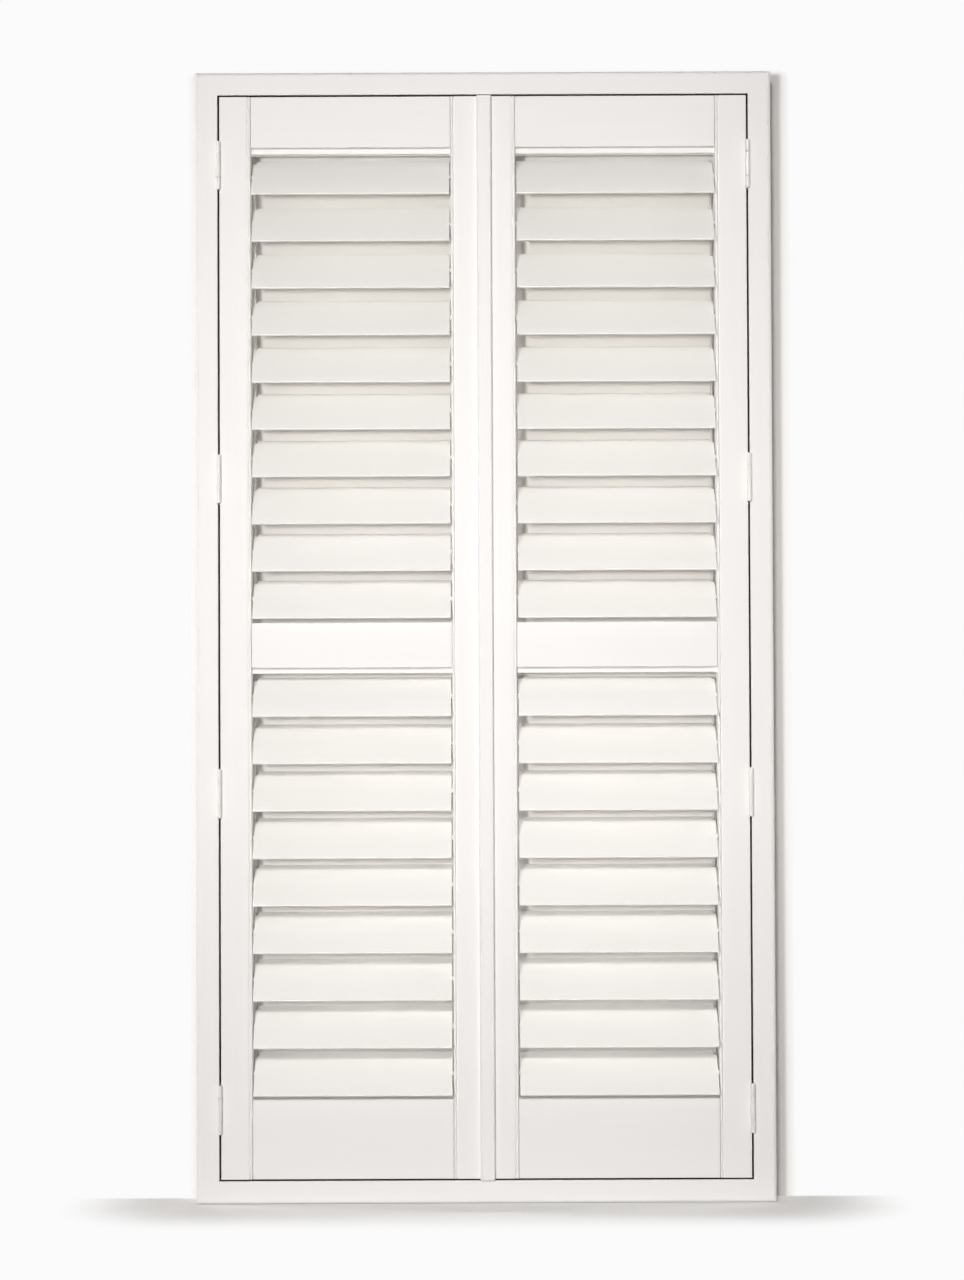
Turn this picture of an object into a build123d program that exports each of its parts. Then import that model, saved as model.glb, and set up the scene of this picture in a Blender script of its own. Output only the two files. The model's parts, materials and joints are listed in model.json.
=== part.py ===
from build123d import *
import os
from math import cos, radians, sin

# Louvres
louvre_chord = 89.0
louvre_thickness = 11.0
louvre_nose = 4.0
louvre_pitch = 76.2
louvre_end_gap = 2.4
upper_louvre_count = 10
lower_louvre_count = 9
rest_tilt_deg = 45.0

# Louvre pivot pins
pivot_radius = 3.0
pivot_in_blade = 12.0
pivot_in_stile = 12.0
pivot_shoulder_radius = 4.6
pivot_shoulder_clearance = 0.3
pivot_bore_relief = 1.0
running_clearance = 0.06
press_allowance = 0.02

# Tilt bars behind the hinge-side end of the louvres
tilt_pin_reach = 46.0
tilt_pin_drop = 9.0
tilt_pin_radius = 1.25
tilt_pin_clearance = 0.10
tilt_pin_head_radius = 2.2
tilt_pin_head = 0.8
tilt_bar_offset = 3.0
tilt_bar_thickness = 2.0
tilt_bar_depth = 5.0
tilt_bar_end = 4.0
tilt_side_clearance = 0.3
tilt_clip_thickness = 3.0
tilt_clip_radius = 2.4
louvre_notch_depth = 10.0

# Panels
panel_width = 426.0
panel_thickness = 28.0
panel_gap = 3.0
stile_width = 50.8
top_rail_height = 92.0
mid_rail_height = 82.0
bottom_rail_height = 128.5
rebate_height = 9.0
rebate_depth = 10.0
lip_round = 1.0
edge_round = 1.2
bead_width = 4.8
bead_round_share = 0.48
bead_groove_width = 1.3
bead_groove_depth = 2.6
bead_wall_share = 0.9
joint_groove_width = 1.0
joint_groove_depth = 5.0

# Dowels between rails and stiles
dowel_radius = 5.0
dowel_length = 60.0
dowel_end_relief = 1.0
dowel_place_shares = (0.25, 0.75)

# Cover strip over the meeting line, fixed to the left panel
strip_width = 24.0
strip_thickness = 8.0
strip_lap = 12.5
strip_round = 3.4
strip_end_round = 2.2
strip_relief = 0.5
strip_overhang = 2.5

# Fixed frame with a light stop behind the panels
frame_face = 37.0
frame_depth = 64.0
stop_width = 12.0
stop_clearance = 1.0
frame_round = 6.0
fixing_hole_radius = 2.75
fixing_outer_spacing = 1440.0
fixing_inner_spacing = 480.0

# Butt hinges with three knuckles
hinge_count = 4
hinge_end_distance = 152.0
hinge_length = 76.0
hinge_end_knuckle = 19.0
hinge_knuckle_gap = 1.0
hinge_barrel_radius = 4.0
hinge_barrel_standoff = 0.25
hinge_pin_radius = 1.7
hinge_pin_cap_radius = 3.3
hinge_pin_cap = 1.4
hinge_cap_round = 1.0
hinge_leaf_width = 23.0
hinge_leaf_thickness = 1.2
hinge_leaf_clearance = 0.5
hinge_screw_place_shares = (-0.36, 0.0, 0.36)
hinge_screw_stagger_shares = (0.62, 0.40, 0.62)
screw_head_radius = 3.0
screw_head_depth = 1.4
screw_shank_radius = 1.6
screw_length = 18.0

cut_overrun = 5.0
quarter_turn_deg = 90.0

# Panel layout, from the bottom up
panel_bottom = frame_face + panel_gap
lower_opening_bottom = panel_bottom + bottom_rail_height
lower_opening_top = lower_opening_bottom + lower_louvre_count * louvre_pitch
upper_opening_bottom = lower_opening_top + mid_rail_height
upper_opening_top = upper_opening_bottom + upper_louvre_count * louvre_pitch
panel_top = upper_opening_top + top_rail_height
panel_height = panel_top - panel_bottom

# Frame layout: the origin is the centre of the sill's underside, and the front faces -Y
frame_height = panel_top + panel_gap + frame_face
frame_width = 2 * (frame_face + panel_width) + 3 * panel_gap
frame_left = -frame_width / 2
front_y = -frame_depth / 2
back_y = frame_depth / 2
panel_back_y = front_y + panel_thickness
panel_middle_y = front_y + panel_thickness / 2
stop_front_y = panel_back_y + stop_clearance
stop_middle_y = (stop_front_y + back_y) / 2

# Left panel, from its hinged edge to the meeting edge
jamb_inner = frame_left + frame_face
panel_left = jamb_inner + panel_gap
panel_right = -panel_gap / 2
opening_left = panel_left + stile_width
opening_right = panel_right - stile_width
hinge_x = jamb_inner + panel_gap / 2
hinge_y = front_y - hinge_barrel_radius - hinge_barrel_standoff

# Louvre heights, numbered from the top
upper_heights = [upper_opening_top - (i + 0.5) * louvre_pitch for i in range(upper_louvre_count)]
lower_heights = [lower_opening_top - (i + 0.5) * louvre_pitch for i in range(lower_louvre_count)]
louvre_heights = upper_heights + lower_heights

# Louvre layout along its length, from the meeting-side end to the hinge-side end
blade_length = opening_right - opening_left - 2 * louvre_end_gap
clip_inner = tilt_bar_offset + tilt_bar_thickness + tilt_side_clearance
clip_outer = clip_inner + tilt_clip_thickness
notch_width = clip_outer - louvre_end_gap
notch_reach = louvre_chord / 2 - louvre_notch_depth
hinge_face = blade_length + louvre_end_gap
pivot_shoulder = louvre_end_gap - pivot_shoulder_clearance

# Tilt pin places, from the louvre's own axis to the pin
rest_sine = sin(radians(rest_tilt_deg))
rest_cosine = cos(radians(rest_tilt_deg))
tilt_pin_back = tilt_pin_reach * rest_sine + tilt_pin_drop * rest_cosine
tilt_pin_rise = tilt_pin_reach * rest_cosine - tilt_pin_drop * rest_sine

# Hinge and fixing heights
hinge_step = (frame_height - 2 * hinge_end_distance) / (hinge_count - 1)
hinge_heights = [hinge_end_distance + i * hinge_step for i in range(hinge_count)]
fixing_reaches = (fixing_outer_spacing / 2, fixing_inner_spacing / 2)
fixing_heights = [frame_height / 2 + side * reach for reach in fixing_reaches for side in (-1, 1)]


def outline(corners):
    """A flat face with the given corners, each (x, y, corner radius)."""
    points = [(x, y) for x, y, _ in corners]
    radii = [radius for _, _, radius in corners]
    return make_face(FilletPolyline(*points, radius=radii, close=True))


def block(x_span, y_span, z_span):
    """A box between two values on each axis."""
    spans = (x_span, y_span, z_span)
    sizes = [high - low for low, high in spans]
    middles = [(low + high) / 2 for low, high in spans]
    return Pos(*middles) * Box(*sizes)


def rod_x(radius, x_span, y, z):
    """A round rod along X."""
    low, high = x_span
    rod = Cylinder(radius, high - low)
    return Pos((low + high) / 2, y, z) * Rot(0, quarter_turn_deg, 0) * rod


def rod_z(radius, x, y, z_span):
    """A round rod along Z."""
    low, high = z_span
    return Pos(x, y, (low + high) / 2) * Cylinder(radius, high - low)


def flipped(shape):
    """The same piece on the other side of the meeting line."""
    return mirror(shape, about=Plane.YZ)


def write_node(name, *solids):
    """Write one node, with one solid or a group of separate solids."""
    whole = solids[0] if len(solids) == 1 else Compound(children=list(solids))
    export_step(whole, os.path.join("parts", name + ".step"))


def countersunk_screw(x, y, z, side):
    """A countersunk wood screw whose head is flush at x and whose point goes along side."""
    foot = (Align.CENTER, Align.CENTER, Align.MIN)
    head = Cone(screw_head_radius, screw_shank_radius, screw_head_depth, align=foot)
    shank_length = screw_length - screw_head_depth
    shank = Pos(0, 0, screw_head_depth) * Cylinder(screw_shank_radius, shank_length, align=foot)
    return Pos(x, y, z) * Rot(0, side * quarter_turn_deg, 0) * (head + shank)


# Frame


def frame_member(length):
    """One mitred frame piece, its outer face at x = 0, running up from z = 0."""
    inner = frame_face + stop_width
    section = outline([
        (0, front_y, frame_round),
        (frame_face, front_y, edge_round),
        (frame_face, stop_front_y, 0),
        (inner, stop_front_y, edge_round),
        (inner, back_y, edge_round),
        (0, back_y, 0),
    ])
    mitre = outline([(0, 0, 0), (inner, inner, 0), (inner, length - inner, 0), (0, length, 0)])
    return extrude(section, amount=length) & extrude(Plane.XZ * mitre, amount=frame_depth, both=True)


def hinge_screws(x, side):
    """The screws of one column of hinge leaves, heads flush at x."""
    leaf_start = hinge_y + hinge_barrel_radius + hinge_leaf_clearance
    return [
        countersunk_screw(x, leaf_start + stagger * hinge_leaf_width, z + place * hinge_length, side)
        for z in hinge_heights
        for place, stagger in zip(hinge_screw_place_shares, hinge_screw_stagger_shares)
    ]


def left_jamb(screws):
    """The left frame piece, with its fixing holes and hinge screw holes."""
    jamb = Pos(frame_left, 0, 0) * frame_member(frame_height)
    hole_span = (frame_left - cut_overrun, jamb_inner + stop_width + cut_overrun)
    for z in fixing_heights:
        jamb -= rod_x(fixing_hole_radius, hole_span, stop_middle_y, z)
    for screw in screws:
        jamb -= screw
    return jamb


# Hinges


def hinge_leaf(x_span, knuckle_spans, z_middle):
    """One hinge leaf with its own knuckles, bored for the pin."""
    half = hinge_length / 2
    plate_start = hinge_y + hinge_barrel_radius + hinge_leaf_clearance
    plate = block(x_span, (plate_start, plate_start + hinge_leaf_width), (z_middle - half, z_middle + half))
    bore_radius = hinge_pin_radius + running_clearance
    neck_start = hinge_y + (bore_radius + hinge_barrel_radius) / 2
    leaf = plate
    for low, high in knuckle_spans:
        z_span = (z_middle + low, z_middle + high)
        knuckle = rod_z(hinge_barrel_radius, hinge_x, hinge_y, z_span)
        neck = block(x_span, (neck_start, plate_start + hinge_leaf_clearance), z_span)
        leaf += knuckle + neck
    bore_span = (z_middle - half - cut_overrun, z_middle + half + cut_overrun)
    return leaf - rod_z(bore_radius, hinge_x, hinge_y, bore_span)


def hinge_pin(z_middle):
    """A hinge pin with a rounded cap at each end."""
    reach = hinge_length / 2 + running_clearance
    pin = rod_z(hinge_pin_radius, hinge_x, hinge_y, (z_middle - reach, z_middle + reach))
    for side in (-1, 1):
        ends = sorted((z_middle + side * reach, z_middle + side * (reach + hinge_pin_cap)))
        cap = rod_z(hinge_pin_cap_radius, hinge_x, hinge_y, ends)
        rim = cap.edges().filter_by(GeomType.CIRCLE).sort_by(Axis.Z)[-1 if side > 0 else 0]
        pin += fillet(rim, hinge_cap_round)
    return pin


def left_hinges():
    """Frame leaves, panel leaves, pins and both sets of screws of the left-hand hinges."""
    half = hinge_length / 2
    inner = half - hinge_end_knuckle
    frame_knuckles = [(-half, -inner - hinge_knuckle_gap), (inner + hinge_knuckle_gap, half)]
    panel_knuckles = [(-inner, inner)]
    frame_face_x = jamb_inner + hinge_leaf_thickness
    panel_face_x = panel_left - hinge_leaf_thickness
    frame_screws = hinge_screws(frame_face_x, -1)
    panel_screws = hinge_screws(panel_face_x, 1)
    frame_leaves = [hinge_leaf((jamb_inner, frame_face_x), frame_knuckles, z) for z in hinge_heights]
    panel_leaves = [hinge_leaf((panel_face_x, panel_left), panel_knuckles, z) for z in hinge_heights]
    per_leaf = len(hinge_screw_place_shares)
    for i in range(hinge_count):
        for screw in frame_screws[i * per_leaf:(i + 1) * per_leaf]:
            frame_leaves[i] -= screw
        for screw in panel_screws[i * per_leaf:(i + 1) * per_leaf]:
            panel_leaves[i] -= screw
    pins = [hinge_pin(z) for z in hinge_heights]
    return frame_leaves, panel_leaves, pins, frame_screws, panel_screws


# Panel woodwork


def rail_dowel_heights(bottom, top, rebate_below, rebate_above):
    """Heights of the dowels in one rail, as shares of its full-thickness part."""
    low = bottom + rebate_height * rebate_below
    high = top - rebate_height * rebate_above
    return [low + share * (high - low) for share in dowel_place_shares]


rails = {
    "top_rail": (upper_opening_top, panel_top, 1, 0),
    "mid_rail": (lower_opening_top, upper_opening_bottom, 1, 1),
    "bottom_rail": (panel_bottom, lower_opening_bottom, 0, 1),
}
dowel_heights = [z for ends in rails.values() for z in rail_dowel_heights(*ends)]


def stile():
    """A stile with a beaded inner edge, its outer edge at x = 0 and its inner edge at +x."""
    bead_start = stile_width - bead_width
    bead_round = min(bead_width * bead_round_share, bead_groove_depth * bead_wall_share)
    section = outline([
        (0, front_y, edge_round),
        (bead_start - bead_groove_width, front_y, 0),
        (bead_start - bead_groove_width, front_y + bead_groove_depth, 0),
        (bead_start, front_y + bead_groove_depth, 0),
        (bead_start, front_y, bead_round),
        (stile_width, front_y, bead_round),
        (stile_width, panel_back_y, edge_round),
        (0, panel_back_y, edge_round),
    ])
    piece = Pos(0, 0, panel_bottom) * extrude(section, amount=panel_height)
    bore_span = (stile_width - pivot_in_stile - pivot_bore_relief, stile_width + cut_overrun)
    for z in louvre_heights:
        piece -= rod_x(pivot_radius + running_clearance, bore_span, panel_middle_y, z)
    dowel_span = (stile_width - dowel_length / 2 - dowel_end_relief, stile_width + cut_overrun)
    for z in dowel_heights:
        piece -= rod_x(dowel_radius + press_allowance, dowel_span, panel_middle_y, z)
    return piece


def rail(bottom, top, rebate_below, rebate_above):
    """A rail between the stiles, rebated low in front and high behind, grooved at each end joint."""
    low = bottom + rebate_height * rebate_below
    high = top - rebate_height * rebate_above
    lip_front = front_y + rebate_depth
    lip_back = panel_back_y - rebate_depth
    corners = [(front_y, low, edge_round)]
    if rebate_below:
        corners += [(lip_front, low, 0), (lip_front, bottom, lip_round)]
    corners += [(panel_back_y, bottom, edge_round), (panel_back_y, high, edge_round)]
    if rebate_above:
        corners += [(lip_back, high, 0), (lip_back, top, lip_round)]
    corners += [(front_y, top, edge_round)]
    section = Plane.YZ * outline(corners)
    piece = Pos(opening_left, 0, 0) * extrude(section, amount=opening_right - opening_left)
    hole_reach = dowel_length / 2 + dowel_end_relief
    groove_y_span = (front_y - cut_overrun, front_y + joint_groove_depth)
    groove_z_span = (bottom - cut_overrun, top + cut_overrun)
    for x, inward in ((opening_left, 1), (opening_right, -1)):
        groove_x_span = sorted((x - inward * cut_overrun, x + inward * joint_groove_width))
        piece -= block(groove_x_span, groove_y_span, groove_z_span)
        for z in rail_dowel_heights(bottom, top, rebate_below, rebate_above):
            hole_span = sorted((x - inward * cut_overrun, x + inward * hole_reach))
            piece -= rod_x(dowel_radius + press_allowance, hole_span, panel_middle_y, z)
    return piece


def rail_dowels(bottom, top, rebate_below, rebate_above):
    """The dowels that carry one rail in its two stiles."""
    half = dowel_length / 2
    return [
        rod_x(dowel_radius, (x - half, x + half), panel_middle_y, z)
        for z in rail_dowel_heights(bottom, top, rebate_below, rebate_above)
        for x in (opening_left, opening_right)
    ]


def cover_strip():
    """The strip on the left panel that laps over the meeting line."""
    right = panel_gap / 2 + strip_lap
    left = right - strip_width
    front = front_y - strip_thickness
    section = outline([
        (left, front_y, 0),
        (left, front, strip_round),
        (right, front, strip_round),
        (right, front_y - strip_relief, 0),
        (panel_right, front_y - strip_relief, 0),
        (panel_right, front_y, 0),
    ])
    strip = Pos(0, 0, panel_bottom - strip_overhang) * extrude(section, amount=panel_height + strip_overhang)
    lower_end = strip.faces().sort_by(Axis.Z)[0]
    rim_limit = front_y - strip_relief - strip_end_round / 2
    rim = [edge for edge in lower_end.edges() if edge.center().Y < rim_limit]
    return fillet(rim, strip_end_round)


# Louvres, drawn flat: x runs to the rear edge, y to the underside, z to the hinge-side end


def louvre_blade():
    """A lens-shaped blade with rounded edges, pin holes and a corner notch for the tilt bar."""
    half = louvre_chord / 2
    crown = louvre_thickness / 2
    nose = louvre_nose / 2
    shoulder = half - nose
    section = make_face([
        ThreePointArc((-shoulder, -nose), (0, -crown), (shoulder, -nose)),
        ThreePointArc((shoulder, -nose), (half, 0), (shoulder, nose)),
        ThreePointArc((shoulder, nose), (0, crown), (-shoulder, nose)),
        ThreePointArc((-shoulder, nose), (-half, 0), (-shoulder, -nose)),
    ])
    blade = extrude(section, amount=blade_length)
    hole = pivot_radius + press_allowance
    bore = pivot_in_blade + pivot_bore_relief
    blade -= rod_z(hole, 0, 0, (-cut_overrun, bore))
    blade -= rod_z(hole, 0, 0, (blade_length - bore, blade_length + cut_overrun))
    return blade - block(
        (notch_reach, half + cut_overrun),
        (-louvre_thickness, louvre_thickness),
        (blade_length - notch_width, blade_length + cut_overrun),
    )


def pivot_pins():
    """The two pins that carry a louvre, each with a shoulder against the blade's end."""
    reach = louvre_end_gap + pivot_in_stile
    low_pin = rod_z(pivot_radius, 0, 0, (-reach, pivot_in_blade))
    low_pin += rod_z(pivot_shoulder_radius, 0, 0, (-pivot_shoulder, 0))
    high_pin = rod_z(pivot_radius, 0, 0, (blade_length - pivot_in_blade, blade_length + reach))
    high_pin += rod_z(pivot_shoulder_radius, 0, 0, (blade_length, blade_length + pivot_shoulder))
    return [low_pin, high_pin]


def tilt_clip():
    """The clip in the louvre's notch, with the headed pin that the tilt bar hangs on."""
    plate_span = (hinge_face - clip_outer, hinge_face - clip_inner)
    root_x = notch_reach + tilt_clip_radius
    reach = ((tilt_pin_reach - root_x) ** 2 + tilt_pin_drop ** 2) ** 0.5
    lean = Vector(tilt_pin_reach - root_x, tilt_pin_drop, 0)
    arm_plane = Plane(origin=(root_x, 0, plate_span[0]), x_dir=lean, z_dir=(0, 0, 1))
    arm_middle = Pos(reach / 2, 0, tilt_clip_thickness / 2)
    clip = arm_plane * arm_middle * Box(reach, 2 * tilt_clip_radius, tilt_clip_thickness)
    for x, y in ((root_x, 0), (tilt_pin_reach, tilt_pin_drop)):
        clip += rod_z(tilt_clip_radius, x, y, plate_span)
    head_start = hinge_face - tilt_bar_offset + tilt_side_clearance
    head_span = (head_start, head_start + tilt_pin_head)
    clip += rod_z(tilt_pin_radius, tilt_pin_reach, tilt_pin_drop, (plate_span[1], head_span[1]))
    return clip + rod_z(tilt_pin_head_radius, tilt_pin_reach, tilt_pin_drop, head_span)


def left_louvre(z):
    """One louvre of the left panel with its pins and clip, at its rest tilt."""
    place = Plane(
        origin=(opening_right - louvre_end_gap, panel_middle_y, z),
        x_dir=(0, rest_sine, rest_cosine),
        z_dir=(-1, 0, 0),
    )
    return [place * solid for solid in louvre_solids]


def left_tilt_bar(heights):
    """The bar that links one set of louvres, with a hole for each tilt pin."""
    x_low = opening_left + tilt_bar_offset
    x_span = (x_low, x_low + tilt_bar_thickness)
    y = panel_middle_y + tilt_pin_back
    pin_heights = [z + tilt_pin_rise for z in heights]
    y_span = (y - tilt_bar_depth / 2, y + tilt_bar_depth / 2)
    bar = block(x_span, y_span, (min(pin_heights) - tilt_bar_end, max(pin_heights) + tilt_bar_end))
    hole_span = (x_low - tilt_bar_thickness, x_low + 2 * tilt_bar_thickness)
    for z in pin_heights:
        bar -= rod_x(tilt_pin_radius + tilt_pin_clearance, hole_span, y, z)
    return bar


os.makedirs("parts", exist_ok=True)

# Frame and hinges
frame_leaves, panel_leaves, hinge_pins, frame_screws, panel_screws = left_hinges()
jamb = left_jamb(frame_screws)
sill = Pos(-frame_left, 0, 0) * Rot(0, -quarter_turn_deg, 0) * frame_member(frame_width)
head = Pos(frame_left, 0, frame_height) * Rot(0, quarter_turn_deg, 0) * frame_member(frame_width)
write_node("frame_head", head)
write_node("frame_sill", sill)
write_node("frame_jamb_left", jamb)
write_node("frame_jamb_right", flipped(jamb))
fixed_hardware = frame_leaves + hinge_pins + frame_screws
write_node("frame_hinge_leaves", *fixed_hardware, *[flipped(piece) for piece in fixed_hardware])

# Panels
plain_stile = stile()
hinge_stile = Pos(panel_left, 0, 0) * plain_stile
for panel_screw in panel_screws:
    hinge_stile -= panel_screw
meeting_stile = Pos(panel_right, 0, 0) * flipped(plain_stile)
panel_pieces = {
    "hinge_stile": [hinge_stile],
    "meeting_stile": [meeting_stile],
    "hinge_leaves": panel_leaves + panel_screws,
    "upper_tilt_bar": [left_tilt_bar(upper_heights)],
    "lower_tilt_bar": [left_tilt_bar(lower_heights)],
}
for rail_name, rail_ends in rails.items():
    panel_pieces[rail_name] = [rail(*rail_ends), *rail_dowels(*rail_ends)]
louvre_solids = [louvre_blade(), *pivot_pins(), tilt_clip()]
for louvre_index, louvre_height in enumerate(louvre_heights, start=1):
    panel_pieces[f"louvre_{louvre_index:02d}"] = left_louvre(louvre_height)
for piece_name, piece_solids in panel_pieces.items():
    write_node("left_" + piece_name, *piece_solids)
    write_node("right_" + piece_name, *[flipped(solid) for solid in piece_solids])
write_node("cover_strip", cover_strip())
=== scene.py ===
"""Looks of a framed pair of white louvred shutters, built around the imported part."""
import json
import logging
import math
from collections.abc import Callable, Iterable
from dataclasses import dataclass
from enum import Enum

import bmesh
import bpy
from mathutils import Matrix, Vector


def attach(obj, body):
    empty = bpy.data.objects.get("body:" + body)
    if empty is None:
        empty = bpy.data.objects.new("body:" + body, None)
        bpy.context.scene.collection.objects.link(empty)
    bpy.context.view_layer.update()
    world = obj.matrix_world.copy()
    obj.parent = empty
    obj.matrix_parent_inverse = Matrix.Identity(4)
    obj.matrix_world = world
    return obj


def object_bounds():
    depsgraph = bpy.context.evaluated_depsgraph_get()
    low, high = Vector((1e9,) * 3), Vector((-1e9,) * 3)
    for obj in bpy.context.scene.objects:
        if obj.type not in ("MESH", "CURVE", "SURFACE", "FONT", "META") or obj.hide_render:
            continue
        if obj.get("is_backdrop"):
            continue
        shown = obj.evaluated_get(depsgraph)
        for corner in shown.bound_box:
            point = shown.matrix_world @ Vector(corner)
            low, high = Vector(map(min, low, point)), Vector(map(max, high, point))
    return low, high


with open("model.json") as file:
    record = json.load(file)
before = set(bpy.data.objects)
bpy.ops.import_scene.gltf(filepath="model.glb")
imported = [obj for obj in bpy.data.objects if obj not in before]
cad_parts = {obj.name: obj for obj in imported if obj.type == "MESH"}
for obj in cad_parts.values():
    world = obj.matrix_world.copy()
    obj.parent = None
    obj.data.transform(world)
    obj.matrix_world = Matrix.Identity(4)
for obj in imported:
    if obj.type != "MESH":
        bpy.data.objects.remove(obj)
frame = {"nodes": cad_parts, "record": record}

log = logging.getLogger("shutters")

PHOTO_HEIGHT_PX = 1280
START_UP_OBJECTS = ("Cube", "Light", "Camera")
PARALLEL = 0.99
HINGE_HEIGHTS_MM = (152.0, 660.77, 1169.53, 1678.3)
FULL_SPREAD_DEG = 180.0


def mm(value: float) -> float:
    """Turn millimetres into metres.

    Args:
        value: a length in millimetres.

    Returns:
        The length in metres.
    """
    return value / 1000.0


def linear(hex_code: str) -> tuple[float, float, float, float]:
    """Turn an sRGB hex value into a linear colour.

    Args:
        hex_code: the colour as #RRGGBB.

    Returns:
        Red, green, blue and a full alpha.
    """
    channels = [int(hex_code[i:i + 2], 16) / 255.0 for i in (1, 3, 5)]
    red, green, blue = (c / 12.92 if c <= 0.04045 else ((c + 0.055) / 1.055) ** 2.4 for c in channels)
    return red, green, blue, 1.0


def dimmed(hex_code: str, share: float) -> tuple[float, float, float, float]:
    """Turn an sRGB hex value into a linear colour at a share of its brightness.

    Args:
        hex_code: the colour as #RRGGBB.
        share: the share, one for the colour as it is.

    Returns:
        Red, green, blue and a full alpha.
    """
    red, green, blue, alpha = linear(hex_code)
    return red * share, green * share, blue * share, alpha


def add_node(
    tree: bpy.types.NodeTree,
    kind: str,
    settings: dict | None = None,
    values: dict | None = None,
    links: dict | None = None,
) -> bpy.types.Node:
    """Add one shader node.

    Args:
        tree: the node tree that gets it.
        kind: Blender's name of the node type.
        settings: properties of the node.
        values: socket values, by input name or number.
        links: output sockets that feed its inputs, by input name or number.

    Returns:
        The new node.
    """
    node = tree.nodes.new(kind)
    for name, value in (settings or {}).items():
        setattr(node, name, value)
    for key, value in (values or {}).items():
        node.inputs[key].default_value = value
    for key, source in (links or {}).items():
        tree.links.new(source, node.inputs[key])
    return node


def blank_material(name: str) -> bpy.types.Material:
    """Make a material with an empty node tree.

    Args:
        name: the material's name.

    Returns:
        The material.
    """
    material = bpy.data.materials.new(name)
    material.use_nodes = True
    material.node_tree.nodes.clear()
    return material


def dress(piece: bpy.types.Object, *materials: bpy.types.Material) -> None:
    """Put materials in a piece's slots, in place of what was there.

    Args:
        piece: the piece.
        materials: the materials, in the order of their slots.
    """
    piece.data.materials.clear()
    for material in materials:
        piece.data.materials.append(material)


def add_block(name: str, low_mm: Iterable[float], high_mm: Iterable[float]) -> bpy.types.Object:
    """Add a cube that fills the box between two corners.

    Args:
        name: the object's name.
        low_mm: the box's lowest corner.
        high_mm: the box's highest corner.

    Returns:
        The cube, the only selected object, with its place in its mesh.
    """
    low, high = (Vector(map(mm, corner)) for corner in (low_mm, high_mm))
    bpy.ops.object.select_all(action="DESELECT")
    bpy.ops.mesh.primitive_cube_add(size=1.0, location=(low + high) / 2, scale=high - low)
    bpy.ops.object.transform_apply()
    block = bpy.context.object
    block.name = name
    return block


def pick_faces(piece: bpy.types.Object, wanted: Callable[[Vector, Vector], bool]) -> None:
    """Select faces of the piece that is in edit mode.

    Args:
        piece: the piece.
        wanted: tells from a face's middle and normal whether it is selected.
    """
    bpy.ops.mesh.select_mode(type="FACE")
    bpy.ops.mesh.select_all(action="DESELECT")
    shape = bmesh.from_edit_mesh(piece.data)
    for face in shape.faces:
        face.select_set(wanted(face.calc_center_median(), face.normal))
    bmesh.update_edit_mesh(piece.data)


def pick_edges(piece: bpy.types.Object, along: Vector) -> None:
    """Select the edges that run along one direction, of the piece that is in edit mode.

    Args:
        piece: the piece.
        along: the direction, of length one.
    """
    bpy.ops.mesh.select_mode(type="EDGE")
    bpy.ops.mesh.select_all(action="DESELECT")
    shape = bmesh.from_edit_mesh(piece.data)
    for edge in shape.edges:
        run = (edge.verts[1].co - edge.verts[0].co).normalized()
        edge.select_set(abs(run.dot(along)) > PARALLEL)
    bmesh.update_edit_mesh(piece.data)


def join(name: str, parts: list[bpy.types.Object]) -> bpy.types.Object:
    """Join several objects into one piece.

    Args:
        name: the piece's name.
        parts: the objects; the first one becomes the piece.

    Returns:
        The piece.
    """
    bpy.ops.object.select_all(action="DESELECT")
    for part in parts:
        part.select_set(True)
    bpy.context.view_layer.objects.active = parts[0]
    bpy.ops.object.join()
    parts[0].name = name
    return parts[0]


class GrainRun(Enum):
    """The axis that the wood grain under the paint runs along."""

    ACROSS = 0
    UPRIGHT = 2

    def stretch(self, width_mm: float, length_mm: float) -> tuple[float, float, float]:
        """Work out how often a pattern repeats per metre on each axis.

        Args:
            width_mm: width of one mark, across the grain.
            length_mm: length of one mark, along the grain.

        Returns:
            The repeats on X, Y and Z.
        """
        repeats = [1.0 / mm(width_mm)] * 3
        repeats[self.value] = 1.0 / mm(length_mm)
        return tuple(repeats)


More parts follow.
